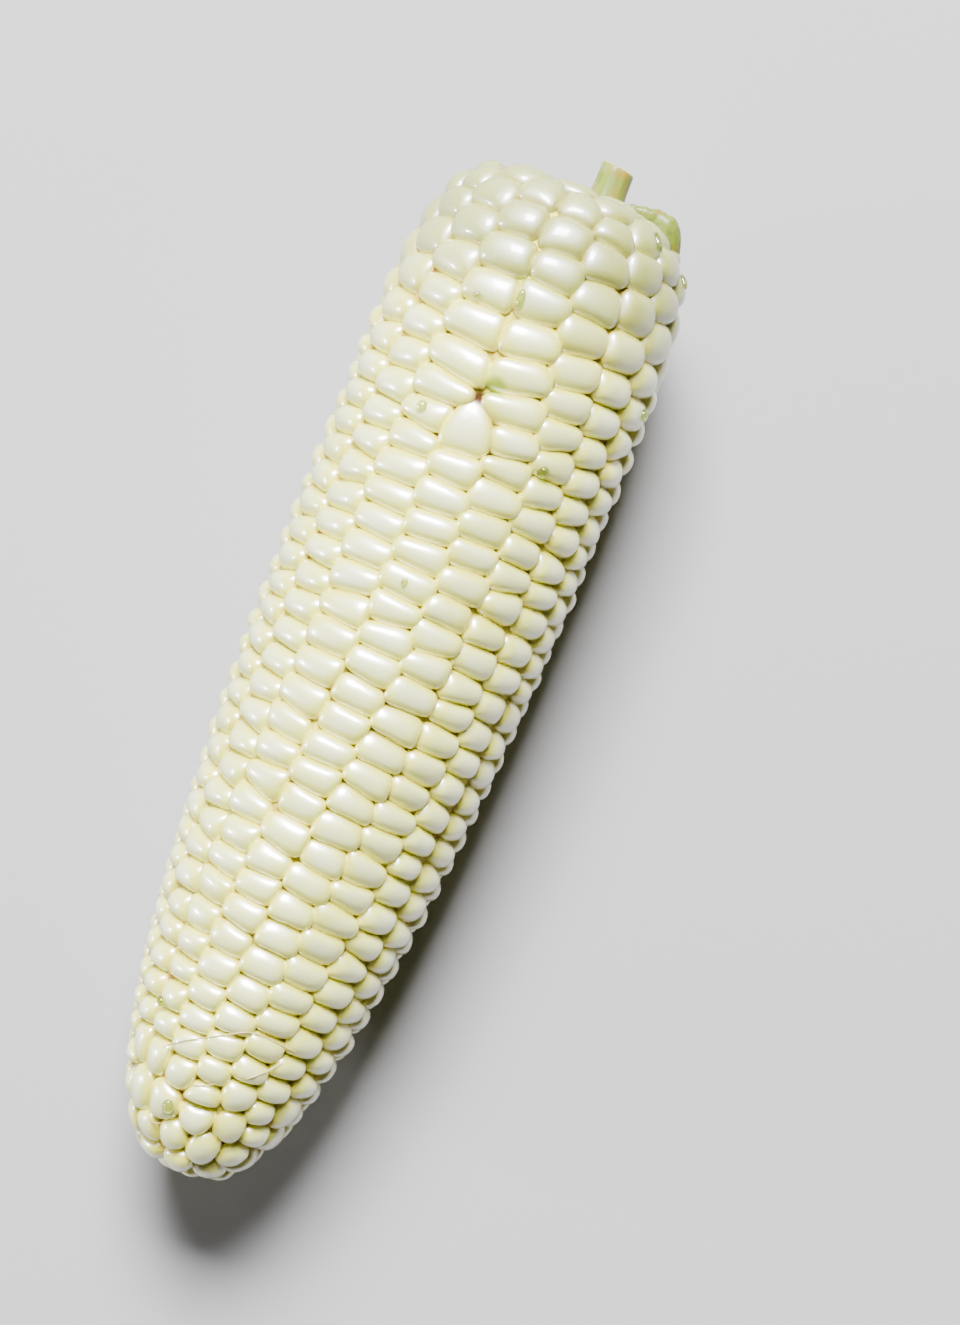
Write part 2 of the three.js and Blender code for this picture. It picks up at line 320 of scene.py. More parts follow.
class Ear:
    """The seats of all the kernels, and the ear's own directions: its axis runs out of the
    butt, side is level across it, and rise is square to both."""

    def __init__(self):
        bm = merged_copy(KERNELS_NODE)
        self.seats = kernel_seats(bm)
        corners = {key for seat in self.seats for key in seat.keys}
        pole = min(bm.verts, key=lambda v: v.co.y)
        plugs = [
            v
            for v in bm.verts
            if v.index not in corners
            and {e.other_vert(v).index for e in v.link_edges} <= corners
        ]
        floor = max(plugs, key=lambda v: v.co.y)
        self.floor_key = floor.index
        self.axis = (floor.co - pole.co).normalized()
        self.side = Vector((1, 0, 0))
        self.rise = self.side.cross(self.axis).normalized()
        self.butt = floor.co + self.axis * CREVICE_DEPTH
        bm.free()

    def beyond_butt(self, across, up, out):
        """The point at these distances from the middle of the butt."""
        return self.butt + self.side * across + self.rise * up + self.axis * out


def kernel_seats(bm):
    """Finds the kernels in the CAD relief. A crown's neighbours are shoulders, which all have
    exactly five edges, and the faces round the shoulders end at the crevice corners."""
    seats = []
    for crown in bm.verts:
        shoulders = {edge.other_vert(crown) for edge in crown.link_edges}
        if any(len(v.link_edges) != SHOULDER_EDGES for v in shoulders):
            continue
        after = {}
        for face in {f for v in shoulders for f in v.link_faces}:
            for loop in face.loops:
                pair = {loop.vert, loop.link_loop_next.vert}
                if not pair & (shoulders | {crown}):
                    after[loop.vert] = loop.link_loop_next.vert
        ring = [min(after, key=lambda v: v.index)]
        while after[ring[-1]] is not ring[0]:
            ring.append(after[ring[-1]])
        seats.append(Seat(ring, crown))
    growth = {}
    for seat in seats:
        for key in seat.keys:
            growth[key] = growth.get(key, Vector()) + seat.up
    for seat in seats:
        seat.growth = [growth[key].normalized() for key in seat.keys]
    return seats


EAR = Ear()
SEATS = EAR.seats
TIP_Y = min(seat.crown.y for seat in SEATS)
BUTT_Y = max(seat.crown.y for seat in SEATS)


# ---- Kernels ----


LEAST_REACH = 0.3 * MM  # from an outline's middle to any of its sides


def bud():
    """The shape that every kernel is bent from: a cube of a few dozen faces, blown round."""
    bm = bmesh.new()
    bmesh.ops.create_cube(bm, size=2)
    bmesh.ops.subdivide_edges(bm, edges=bm.edges, cuts=2, use_grid_fill=True)
    for vert in bm.verts:
        vert.co.normalize()
    mesh = bpy.data.meshes.new("bud")
    bm.to_mesh(mesh)
    bm.free()
    return mesh


def rounding_rule(bm):
    """For each vertex of a cage, the weights by which subdivision averages it and its
    neighbours, so that a cage can be swelled until its smooth surface meets the shape."""
    rule = []
    for vert in bm.verts:
        count = len(vert.link_edges)
        weights = {vert.index: (count - 3) / count}
        for edge in vert.link_edges:
            for end in edge.verts:
                weights[end.index] = weights.get(end.index, 0) + 1 / count**2
        for face in vert.link_faces:
            for corner in face.verts:
                share = 1 / (count**2 * len(face.verts))
                weights[corner.index] = weights.get(corner.index, 0) + share
        rule.append(sorted(weights.items()))
    return rule


def swelled(shape, rule):
    """The cage whose subdivided surface passes close to the shape's points."""
    cage = list(shape)
    for _ in range(2):
        rounded = [sum((cage[i] * w for i, w in weights), Vector()) for weights in rule]
        cage = [point + wanted - soft for point, wanted, soft in zip(cage, shape, rounded)]
    return cage


def outline_sides(seat, depth, gap):
    """The seat's outline at a depth below the crowns: its middle, and for each side its outward
    direction, its distance, and its length as a share of the outline's width that way."""
    lifted = [c + g * (CREVICE_DEPTH - depth) for c, g in zip(seat.corners, seat.growth)]
    middle = sum(lifted, Vector()) / len(lifted)
    flat = [Vector(((p - middle).dot(seat.across), (p - middle).dot(seat.along))) for p in lifted]
    sides = []
    for a, b in zip(flat, flat[1:] + flat[:1]):
        outward = Vector((b.y - a.y, a.x - b.x)).normalized()
        run = (b - a).normalized()
        stations = [run.dot(p) for p in flat]
        share = (b - a).length / (max(stations) - min(stations))
        sides.append((outward, max(outward.dot(a) - gap, LEAST_REACH), share))
    return middle, sides


def reach(sides, direction, squareness):
    """How far an outline with rounded corners reaches from its middle in a direction."""
    total = 0.0
    for outward, distance, share in sides:
        facing = outward.dot(direction)
        if facing > 0:
            total += share * (facing / distance) ** squareness
    return total ** (-1 / squareness)


TIP_BEADS = 10 * MM  # within this of the tip's end, kernels are wholly beadlike
BUTT_STRETCH = (34 * MM, 12 * MM)  # from the butt's end: where its look begins and where it is full
FLANK_TURN = (0.25, 0.8)  # how far a kernel faces sideways where a flank begins and where it is full
DOME_SPREAD = 0.12
GAP_SPREAD = 0.8
TILT_SPREAD = (0.035, 0.05)
# Each pair: for a plain body kernel, and for a beadlike one.
ROUND_ENDS = (0.8, 1.0)
ROUNDNESS = (0.35, 0.9)  # of the crown
SQUARENESS = (5.6, 4.0)  # of the outline
BOX_SQUARENESS = 8  # for an outline's plain width and length
FOOT_FULLNESS = 0.4  # how soon the underside spreads to the outline
FOOT_DEPTH = 0.85  # how evenly the underside goes down
RIM_SHADE = 0.35


class Kernel:
    """The small differences and the region that give one kernel its shape."""

    def __init__(self, seat, settings, draw):
        self.seat = seat
        beadlike = ease(-seat.middle.y, -(TIP_Y + settings.tip_reach), -(TIP_Y + TIP_BEADS))
        buttlike = ease(seat.middle.y, BUTT_Y - BUTT_STRETCH[0], BUTT_Y - BUTT_STRETCH[1])
        flanking = ease(abs(seat.up.x), *FLANK_TURN)
        self.buttlike = buttlike
        self.root = settings.root
        self.dome = blend(settings.dome, settings.flank_dome, flanking)
        self.dome = blend(self.dome, settings.tip_dome, max(beadlike, buttlike))
        self.dome *= 1 + DOME_SPREAD * draw.uniform(-1, 1)
        self.round_ends = blend(*ROUND_ENDS, max(beadlike, 0.5 * buttlike, flanking))
        self.roundness = blend(*ROUNDNESS, max(beadlike, buttlike, 0.7 * flanking))
        self.squareness = blend(*SQUARENESS, max(beadlike, 0.45 * buttlike, 0.6 * flanking))
        tip_gap = settings.tip_gap * (1 + GAP_SPREAD * draw.uniform(-1, 1))
        gap = blend(-settings.squeeze, tip_gap, beadlike)
        self.tilt = Vector([draw.gauss(0, spread) for spread in TILT_SPREAD])
        self.tone = draw.random()
        self.top = outline_sides(seat, 0, gap)
        self.bottom = outline_sides(seat, settings.root, gap)
        self.rise = (seat.crown - self.top[0]).dot(seat.up)

    def place(self, point):
        """Bends a point of the bud's unit sphere to the kernel, and gives its depth too."""
        seat = self.seat
        plan = Vector((point.x, point.y))
        flat = min(1.0, plan.length)
        wide, tall = (
            reach(self.top[1], axis, BOX_SQUARENESS) + reach(self.top[1], -axis, BOX_SQUARENESS)
            for axis in (Vector((1, 0)), Vector((0, 1)))
        )
        direction = Vector((plan.x * wide, plan.y * tall)).normalized()
        if point.z >= 0:
            endwise = (plan.x / flat) ** 2 if flat else 0.5
            fullness = blend(1.0, self.round_ends, endwise)
            share = flat**fullness
            height = point.z**fullness
            roundness = blend(self.roundness, 1.0, endwise)
            depth = self.dome * (1 - blend(height**2, height, roundness))
        else:
            share = flat**FOOT_FULLNESS
            depth = blend(self.dome, self.root, (-point.z) ** FOOT_DEPTH)
        level = depth / self.root
        middle = blend(self.top[0], self.bottom[0], level)
        out = blend(
            reach(self.top[1], direction, self.squareness),
            reach(self.bottom[1], direction, self.squareness),
            level,
        )
        offset = direction * out * share
        lift = (self.rise * (1 - share**2) + self.tilt.dot(offset)) * (1 - level)
        where = middle + seat.across * offset.x + seat.along * offset.y + seat.up * lift
        where.z = max(where.z, 0.0)  # the floor
        return where, depth

    # The ramp turns this into colour; its darker deep end is painted shade in the crevices.
    def shade(self, depth):
        """0 on the crown, a set value at the kernel's rim and 1 at its foot."""
        if depth < self.dome:
            return RIM_SHADE * depth / self.dome
        return blend(RIM_SHADE, 1.0, (depth - self.dome) / (self.root - self.dome))


def grow_kernels(name, seats, settings, material):
    """One mesh that holds the kernels of a stretch of the ear."""
    draw = random.Random(f"{settings.seed} {name}")
    template = bud()
    bm = bmesh.new()
    bm.from_mesh(template)
    directions = [vert.co.copy() for vert in bm.verts]
    rule = rounding_rule(bm)
    bm.clear()
    depth_tone_and_shade_layer = bm.verts.layers.float.new("depth")
    tone_layer = bm.verts.layers.float.new("tone")
    butt_layer = bm.verts.layers.float.new("butt")
    for seat in seats:
        kernel = Kernel(seat, settings, draw)
        first = len(bm.verts)
        bm.from_mesh(template)
        bm.verts.ensure_lookup_table()
        placed = [kernel.place(direction) for direction in directions]
        cage = swelled([where for where, _ in placed], rule)
        for vert, point, (_, depth) in zip(bm.verts[first:], cage, placed):
            vert.co = (point.x, point.y, max(point.z, 0.0))
            vert[depth_tone_and_shade_layer] = kernel.shade(depth)
            vert[tone_layer] = kernel.tone
            vert[butt_layer] = kernel.buttlike
    bpy.data.meshes.remove(template)
    finish_piece(bm, name, [material], [KERNELS_NODE], levels=1)


# Each spot: its middle in millimetres in the frame, its radius, and how strong it is.
LIME_SPOTS = [((-0.6, 49.4, 51.0), 2.7, 1.0), ((-2.5, 67.6, 49.5), 2.3, 0.6)]
STAIN_SPOTS = [((-2.3, 46.6, 49.9), 2.2, 1.0)]
SPOT_CORE = 0.35  # share of its radius within which a spot is at full strength


def spot_mask(tree, place, middle, radius, strength):
    """A soft round patch about a point: its strength in the middle, nothing beyond its edge."""
    away = add_node(
        tree,
        "VectorMath",
        {0: place, 1: [length * MM for length in middle]},
        operation="DISTANCE",
    ).outputs["Value"]
    edges = {0: away, 1: SPOT_CORE * radius * MM, 2: radius * MM, 3: strength, 4: 0.0}
    return add_node(tree, "MapRange", edges, interpolation_type="SMOOTHSTEP").outputs[0]


def waxy_kernel_material(settings):
    """Fresh waxy endosperm in a clear moist skin: milky inside, so light spreads in it, with
    a wet gloss on top. The flanks are yellower than the crowns, partly their own colour and
    partly painted shade that darkens down into the crevices."""
    material, tree, shader = new_material("waxy_kernel")
    shader.subsurface_method = "BURLEY"
    place = add_node(tree, "TexCoord").outputs["Object"]
    depth = add_node(tree, "Attribute", attribute_name="depth").outputs["Fac"]
    tone = add_node(tree, "Attribute", attribute_name="tone").outputs["Fac"]
    mottle = add_node(
        tree,
        "TexNoise",
        {"Vector": place, "Scale": 1 / (7 * MM), "Detail": 3.0, "Roughness": 0.55},
    ).outputs["Fac"]
    shift = add_node(
        tree, "Math", {0: mottle, 1: 0.16, 2: depth}, operation="MULTIPLY_ADD"
    ).outputs[0]
    # Crown to foot by depth: the kernel's own colours, darkened downwards as painted shade in the
    # crevices.
    ramp = add_node(
        tree,
        "ValToRGB",
        {"Fac": shift},
        stops=[
            (0.09, settings.crown),
            (0.18, settings.shoulder),
            (0.28, settings.flank),
            (0.7, settings.foot),
        ],
    )
    creamy = add_node(
        tree,
        "Mix",
        {0: tone, 6: (1.0, 1.0, 1.0), 7: srgb("#f6f4c8")},
        data_type="RGBA",
    ).outputs[2]
    colour = add_node(
        tree,
        "Mix",
        {0: 0.4, 6: ramp.outputs["Color"], 7: creamy},
        data_type="RGBA",
        blend_type="MULTIPLY",
    ).outputs[2]
    butt = add_node(tree, "Attribute", attribute_name="butt").outputs["Fac"]
    colour = add_node(
        tree,
        "Mix",
        {0: butt, 6: colour, 7: settings.dull},
        data_type="RGBA",
        blend_type="MULTIPLY",
    ).outputs[2]
    for tint, spots in ((settings.lime, LIME_SPOTS), (settings.stain, STAIN_SPOTS)):
        for spot in spots:
            near = spot_mask(tree, place, *spot)
            colour = add_node(
                tree, "Mix", {0: near, 6: colour, 7: tint}, data_type="RGBA"
            ).outputs[2]
    fine = add_node(
        tree,
        "TexNoise",
        {"Vector": place, "Scale": 1 / (0.9 * MM), "Detail": 2.0, "Roughness": 0.5},
    ).outputs["Fac"]
    bump = add_node(
        tree, "Bump", {"Height": fine, "Strength": 0.10, "Distance": 0.25 * MM}
    ).outputs["Normal"]
    roughness = add_node(
        tree, "Math", {0: butt, 1: 0.16, 2: 0.37}, operation="MULTIPLY_ADD"
    ).outputs[0]
    for key, value in {
        "Base Color": colour,
        "Roughness": roughness,
        "IOR": 1.9,
        "Specular IOR Level": 1.0,
        "Specular Tint": (0.93, 0.91, 1.0),
        "Subsurface Weight": 1.0,
        "Subsurface Radius": (0.95, 1.0, 0.5),
        "Subsurface Scale": 1.3 * MM,
        "Coat Weight": 1.0,
        "Coat Roughness": 0.14,
        "Coat IOR": 1.55,
        "Normal": bump,
    }.items():
        set_input(tree, shader.inputs[key], value)
    return material


KERNEL_PIECES = ["kernels_of_tip", "kernels_of_fore_body", "kernels_of_rear_body", "kernels_of_butt"]
END_MARGIN = 1 * MM  # so that both end stretches hold their outermost kernels


class CORNEAR_OT_kernels(bpy.types.Operator):
    """Grows every kernel from its outline on the ear, in four stretches."""

    bl_idname = "corn_ear.kernels"
    bl_label = "Kernels"

    def execute(self, context):
        settings = context.scene.corn_kernels
        material = waxy_kernel_material(settings)
        stretch = (BUTT_Y - TIP_Y) / len(KERNEL_PIECES)
        for number, name in enumerate(KERNEL_PIECES):
            low = TIP_Y + stretch * number - END_MARGIN
            high = low + stretch + (2 * END_MARGIN if name == KERNEL_PIECES[-1] else 0)
            seats = [seat for seat in SEATS if low <= seat.crown.y < high]
            grow_kernels(name, seats, settings, material)
        return {"FINISHED"}


# ---- Cob ----


def chaff_material(settings):
    """Papery, moist chaff of the cob: dull pale yellow, browned here and there."""
    material, tree, shader = new_material("cob_chaff")
    place = add_node(tree, "TexCoord").outputs["Object"]
    patches = add_node(
        tree, "TexNoise", {"Vector": place, "Scale": 1 / (9 * MM), "Detail": 4.0}
    ).outputs["Fac"]
    colour = add_node(
        tree,
        "ValToRGB",
        {"Fac": patches},
        stops=[(0.5, settings.chaff), (0.66, settings.bruise)],
    ).outputs["Color"]
    for spot in STAIN_SPOTS:
        near = spot_mask(tree, place, *spot)
        colour = add_node(
            tree, "Mix", {0: near, 6: colour, 7: settings.pit}, data_type="RGBA"
        ).outputs[2]
    grain = add_node(
        tree, "TexNoise", {"Vector": place, "Scale": 1 / (0.5 * MM), "Detail": 3.0}
    ).outputs["Fac"]
    bump = add_node(
        tree, "Bump", {"Height": grain, "Strength": 0.5, "Distance": 0.2 * MM}
    ).outputs["Normal"]
    for key, value in {
        "Base Color": colour,
        "Roughness": 0.6,
        "Specular IOR Level": 0.08,
        "Subsurface Weight": 0.3,
        "Subsurface Radius": (1.0, 0.8, 0.3),
        "Subsurface Scale": 1.2 * MM,
        "Normal": bump,
    }.items():
        set_input(tree, shader.inputs[key], value)
    return material


class CORNEAR_OT_cob(bpy.types.Operator):
    """Makes the cob under the kernels: one sunken socket for each of them."""

    bl_idname = "corn_ear.cob"
    bl_label = "Cob"

    def execute(self, context):
        settings = context.scene.corn_cob
        bm = merged_copy(KERNELS_NODE)
        growth = {key: g for seat in SEATS for key, g in zip(seat.keys, seat.growth)}
        bm.verts.ensure_lookup_table()
        bm.verts.index_update()
        for key, direction in growth.items():
            bm.verts[key].co -= direction * settings.depth
        kept = set(growth) | {EAR.floor_key}
        raised = [v for v in bm.verts if v.index not in kept]
        bmesh.ops.dissolve_verts(bm, verts=raised)
        bmesh.ops.triangulate(bm, faces=[f for f in bm.faces if len(f.verts) > 4])
        material = chaff_material(settings)
        finish_piece(bm, "cob", [material], [KERNELS_NODE])
        return {"FINISHED"}


# ---- Shank ----


TUBE_SIDES = 40
STUB_RIBS = 7
STUB_STEPS = 7
STUB_FLATNESS = 0.9
STUB_FLARE = 0.16  # how much wider the stub is where it grows out of the collar
STUB_ROOT = -1.4 * MM  # beyond the butt
STUB_EDGE = 0.35 * MM  # from the stub's top down to where its side ends
STUB_SLOPE = 0.1  # of its snapped end
RIB_DEPTH = 0.022  # as a share of the radius
END_RIB_DEPTH = 0.02
PITH_DEPTH = 1.2 * MM  # faces this near the stub's top that look outwards are pith
# Rings of the collar: radius and distance beyond the butt, in millimetres.
COLLAR = [(7.3, -2.1), (7.4, -1.2), (7.0, -0.85), (5.6, -0.5), (3.4, -0.42), (1.2, -0.4)]
# Rings of the torn end: how far in from the stub's radius and down from its top, in millimetres.
TORN_END = [(0.14, 0.12), (0.4, 0.0), (0.75, 0.12), (1.5, 0.3), (2.6, 0.36)]
# Patches on the stub: middle in millimetres in the frame, radius, strength.
DRY_PATCH = ((6.8, 90.6, 28.0), 1.8, 0.6)
GREYED_PATCHES = [((1.6, 88.8, 28.0), 2.0, 0.35), ((2.2, 92.6, 28.5), 1.4, 0.35)]


def grow_tube(bm, rings):
    """A closed tube through rings of points, each extruded from the one before."""
    first = bmesh.ops.create_circle(bm, segments=len(rings[0]), radius=1, cap_ends=False)["verts"]
    edges = list({edge for vert in first for edge in vert.link_edges})
    ordered = walk_ring(first)
    for vert, point in zip(ordered, rings[0]):
        vert.co = point
    bmesh.ops.contextual_create(bm, geom=edges)
    for ring in rings[1:]:
        geom = bmesh.ops.extrude_edge_only(bm, edges=edges)["geom"]
        edges = [g for g in geom if isinstance(g, bmesh.types.BMEdge)]
        following = {}
        for vert in (g for g in geom if isinstance(g, bmesh.types.BMVert)):
            for edge in vert.link_edges:
                following[edge.other_vert(vert)] = vert
        ordered = [following[vert] for vert in ordered]
        for vert, point in zip(ordered, ring):
            vert.co = point
    bmesh.ops.contextual_create(bm, geom=edges)
    bmesh.ops.recalc_face_normals(bm, faces=bm.faces)


def walk_ring(verts):
    """A ring's vertices in their order round it."""
    ordered = [verts[0]]
    while len(ordered) < len(verts):
        near = [edge.other_vert(ordered[-1]) for edge in ordered[-1].link_edges]
        ordered.append(next(v for v in near if v not in ordered))
    return ordered


def round_ring(count, radius, out, aside=0.0, flatness=1.0, ribs=0, rib_depth=0.0, slope=0.0):
    """Points round an axis beside the ear's, at a distance beyond its butt."""
    points = []
    for i in range(count):
        angle = 2 * math.pi * i / count
        reach_here = radius * (1 + rib_depth * math.cos(ribs * angle))
        across = reach_here * math.cos(angle)
        up = reach_here * math.sin(angle) * flatness
        points.append(EAR.beyond_butt(aside + across, up, out - slope * across))
    return points


def plant_tissue_material(name, main, dry, grain, patches=()):
    """Fresh, moist plant tissue: lengthwise fibres, mottled, and ochre where it dries."""
    material, tree, shader = new_material(name)
    place = add_node(tree, "TexCoord").outputs["Object"]
    drawn = add_node(tree, "Mapping", {"Vector": place, "Scale": grain}).outputs["Vector"]
    fibres = add_node(
        tree, "TexNoise", {"Vector": drawn, "Scale": 1 / (0.55 * MM), "Detail": 4.0}
    ).outputs["Fac"]
    mottle = add_node(
        tree, "TexNoise", {"Vector": place, "Scale": 1 / (4.5 * MM), "Detail": 3.0}
    ).outputs["Fac"]
    light = [min(1.0, c * 1.45) for c in main]
    streaks = add_node(
        tree, "ValToRGB", {"Fac": fibres}, stops=[(0.36, main), (0.62, light)]
    ).outputs["Color"]
    dryness = add_node(
        tree, "ValToRGB", {"Fac": mottle}, stops=[(0.5, (0, 0, 0)), (0.68, (1, 1, 1))]
    ).outputs["Color"]
    colour = add_node(
        tree, "Mix", {0: dryness, 6: streaks, 7: dry}, data_type="RGBA"
    ).outputs[2]
    for tint, spot in patches:
        near = spot_mask(tree, place, *spot)
        colour = add_node(
            tree, "Mix", {0: near, 6: colour, 7: tint}, data_type="RGBA"
        ).outputs[2]
    bump = add_node(
        tree, "Bump", {"Height": fibres, "Strength": 0.35, "Distance": 0.2 * MM}
    ).outputs["Normal"]
    for key, value in {
        "Base Color": colour,
        "Roughness": 0.5,
        "IOR": 1.38,
        "Subsurface Weight": 0.4,
        "Subsurface Radius": (0.9, 1.0, 0.3),
        "Subsurface Scale": 0.8 * MM,
        "Coat Weight": 0.15,
        "Coat Roughness": 0.25,
        "Normal": bump,
    }.items():
        set_input(tree, shader.inputs[key], value)
    return material


def pith_material(settings):
    """Torn, spongy pith of the stub's end: pale, with the darker dots of its veins."""
    material, tree, shader = new_material("shank_pith")
    place = add_node(tree, "TexCoord").outputs["Object"]
    veins = add_node(
        tree, "TexVoronoi", {"Vector": place, "Scale": 1 / (0.7 * MM)}
    ).outputs["Distance"]
    dark = [c * 0.55 for c in settings.cut]
    colour = add_node(
        tree, "ValToRGB", {"Fac": veins}, stops=[(0.12, dark), (0.34, settings.cut)]
    ).outputs["Color"]
    bump = add_node(
        tree, "Bump", {"Height": veins, "Strength": 0.5, "Distance": 0.25 * MM}
    ).outputs["Normal"]
    for key, value in {
        "Base Color": colour,
        "Roughness": 0.6,
        "Subsurface Weight": 0.4,
        "Subsurface Radius": (1.0, 0.9, 0.4),
        "Subsurface Scale": 0.8 * MM,
        "Normal": bump,
    }.items():
        set_input(tree, shader.inputs[key], value)
    return material


class CORNEAR_OT_shank(bpy.types.Operator):
    """Makes the stub where the ear was snapped off its stalk, and the collar under it."""

    bl_idname = "corn_ear.shank"
    bl_label = "Shank"

    def execute(self, context):
        settings = context.scene.corn_shank
        bm = bmesh.new()
        grow_tube(bm, [round_ring(TUBE_SIDES, radius * MM, out * MM) for radius, out in COLLAR])
        top = settings.height
        rings = []
        for step in range(STUB_STEPS + 1):
            share = step / STUB_STEPS
            flare = 1 + STUB_FLARE * (1 - share) ** 3
            out = blend(STUB_ROOT, top - STUB_EDGE, share)
            rings.append((settings.radius * flare, out, RIB_DEPTH, STUB_SLOPE * share))
        for inset, drop in TORN_END:
            radius, out = settings.radius - inset * MM, top - drop * MM
            rings.append((radius, out, END_RIB_DEPTH, STUB_SLOPE))
        grow_tube(
            bm,
            [
                round_ring(
                    TUBE_SIDES, radius, out, settings.aside, STUB_FLATNESS, STUB_RIBS, depth, slope
                )
                for radius, out, depth, slope in rings
            ],
        )
        for face in bm.faces:
            beyond = (face.calc_center_median() - EAR.butt).dot(EAR.axis)
            torn = beyond > top - PITH_DEPTH and face.normal.dot(EAR.axis) > 0.8
            face.material_index = 1 if torn else 0
        patches = [(settings.ochre, DRY_PATCH)]
        patches += [(settings.blush, patch) for patch in GREYED_PATCHES]
        tissue = plant_tissue_material(
            "shank_tissue", settings.tissue, settings.ochre, (1.0, 0.08, 1.0), patches
        )
        materials = [tissue, pith_material(settings)]
        finish_piece(bm, "shank_stub", materials, [SHANK_NODE])
        return {"FINISHED"}


HUSK_GRID = (44, 18)
HUSK_THINNEST = 0.06  # least share of the fold's height that is left at its two ends
HUSK_ROOT = -5.5 * MM  # the hidden edge, below the ear's axis
HUSK_SINK = -1.0 * MM  # how far the sheet lies in the butt
HUSK_BULGE = 0.8 * MM
HUSK_FRAYS = [(0.7 * MM, 4, 3), (0.3 * MM, 15, 5)]  # depth, waves along the lip, noise level
HUSK_WAVE = 0.5 * MM


class CORNEAR_OT_husk(bpy.types.Operator):
    """Makes the scrap of husk base: a sheet that hugs the butt and folds out over its rim."""

    bl_idname = "corn_ear.husk"
    bl_label = "Husk Base"

    def execute(self, context):
        settings = context.scene.corn_husk
        bm = bmesh.new()
        bmesh.ops.create_grid(bm, x_segments=HUSK_GRID[0], y_segments=HUSK_GRID[1], size=1)
        for vert in bm.verts:
            along, share = vert.co.x, (vert.co.y + 1) / 2
            fullness = math.sqrt(max(HUSK_THINNEST, 1 - abs(along) ** 4))
            across = blend(settings.start, settings.reach, (along + 1) / 2)
            lip = max(0.0, 2 * share - 1)
            up = fullness * blend(HUSK_ROOT, settings.height, min(1.0, 2 * share))
            hug = HUSK_SINK - 1.5 * butt_fall(math.hypot(across, up))
            up += fullness * (HUSK_BULGE * math.sin(math.pi * lip) - settings.droop * lip**2)
            rim = (husk_rim(across) - EAR.butt.y) / EAR.axis.y
            for fray, waves, level in HUSK_FRAYS:
                rim += fray * noise.noise(Vector((along * waves, 0, level)))
            out = blend(hug, max(rim, hug), fullness * math.sin(math.pi / 2 * lip))
            wave = HUSK_WAVE * noise.noise(Vector((along * 3.2, share, 9))) * fullness * share
            vert.co = EAR.beyond_butt(across, up + wave, out)
        bmesh.ops.recalc_face_normals(bm, faces=bm.faces)
        shell = bmesh.ops.extrude_face_region(bm, geom=bm.faces, use_keep_orig=True)["geom"]
        bm.normal_update()
        for vert in (g for g in shell if isinstance(g, bmesh.types.BMVert)):
            vert.co -= vert.normal * settings.thickness
        bmesh.ops.recalc_face_normals(bm, faces=bm.faces)
        material = plant_tissue_material(
            "husk_tissue", settings.green, settings.straw, (1.0, 0.5, 1.0)
        )
        finish_piece(bm, "husk_base", [material], [SHANK_NODE], levels=1)
        return {"FINISHED"}


# Edge of the husk's folded lip, seen from above: millimetres across and along the ear.
HUSK_RIM = [
    (5.0, 87.6), (7.7, 88.5), (11.0, 89.1), (14.5, 89.5), (16.5, 89.4), (18.0, 88.8), (20.0, 86.8)
]


def husk_rim(across):
    """How far along the ear the lip reaches at a distance from the axis."""
    for (start, low), (end, high) in zip(HUSK_RIM, HUSK_RIM[1:]):
        if across <= end * MM:
            return blend(low, high, (across - start * MM) / (end * MM - start * MM)) * MM
    return HUSK_RIM[-1][1] * MM


def butt_fall(radius):
    """How far the butt's rounded end has fallen back at a distance from the ear's axis."""
    ear_radius = 26 * MM
    rounding = 36 * MM
    share = min(0.999, radius / ear_radius)
    return rounding * (1 - (1 - share**5) ** (1 / 2.5))


# ---- Silk and dew ----


WELL_ABOVE = 0.2  # metres, over the whole ear


def kernel_surface():
    """A function that gives the highest point of the kernels over a place, and its normal."""
    graph = bpy.context.evaluated_depsgraph_get()
    trees = [BVHTree.FromObject(bpy.data.objects[name], graph) for name in KERNEL_PIECES]

    def over(x, y):
        hits = [tree.ray_cast(Vector((x, y, WELL_ABOVE)), -UP) for tree in trees]
        hits = [hit for hit in hits if hit[0] is not None]
        if not hits:
            raise RuntimeError(f"No kernel lies under {x:.4f}, {y:.4f}")
        best = max(hits, key=lambda hit: hit[0].z)
        return best[0], best[1]

    return over


SILK_STEP = 0.35 * MM
SILK_SAG = 0.002 * MM
SILK_PASSES = 60
STRAND_SIDES = 6
STRAND_END = 0.35  # share of the thickness that is left at a strand's two ends
STRAND_TAPER = 0.2  # share of the thickness gained with each step from an end
# Seen from above, in millimetres from the ear's middle.
SILK_PATHS = [
    [(-10.1, -74.0), (-7.4, -71.6), (-4.3, -69.6), (-0.4, -67.2), (3.6, -65.4), (11.2, -66.1)],
    [(5.0, -73.3), (7.2, -71.4), (9.8, -68.5)],
    [(-3.6, -78.1), (-1.4, -77.3), (0.5, -76.1)],
    [(-8.1, -86.6), (-6.6, -87.0), (-5.3, -86.4)],
]


def silk_material(settings):
    """A fresh silk strand: thin, pale, half clear and faintly glossy."""
    material, tree, shader = new_material("corn_silk")
    place = add_node(tree, "TexCoord").outputs["Object"]
    shade = add_node(
        tree, "TexNoise", {"Vector": place, "Scale": 1 / (1.5 * MM), "Detail": 2.0}
    ).outputs["Fac"]
    dark = [c * 0.72 for c in settings.colour]
    colour = add_node(
        tree, "ValToRGB", {"Fac": shade}, stops=[(0.35, settings.colour), (0.7, dark)]
    ).outputs["Color"]
    for key, value in {
        "Base Color": colour,
        "Roughness": 0.35,
        "IOR": 1.5,
        "Subsurface Weight": 0.3,
        "Subsurface Scale": 0.2 * MM,
    }.items():
        set_input(tree, shader.inputs[key], value)
    return material


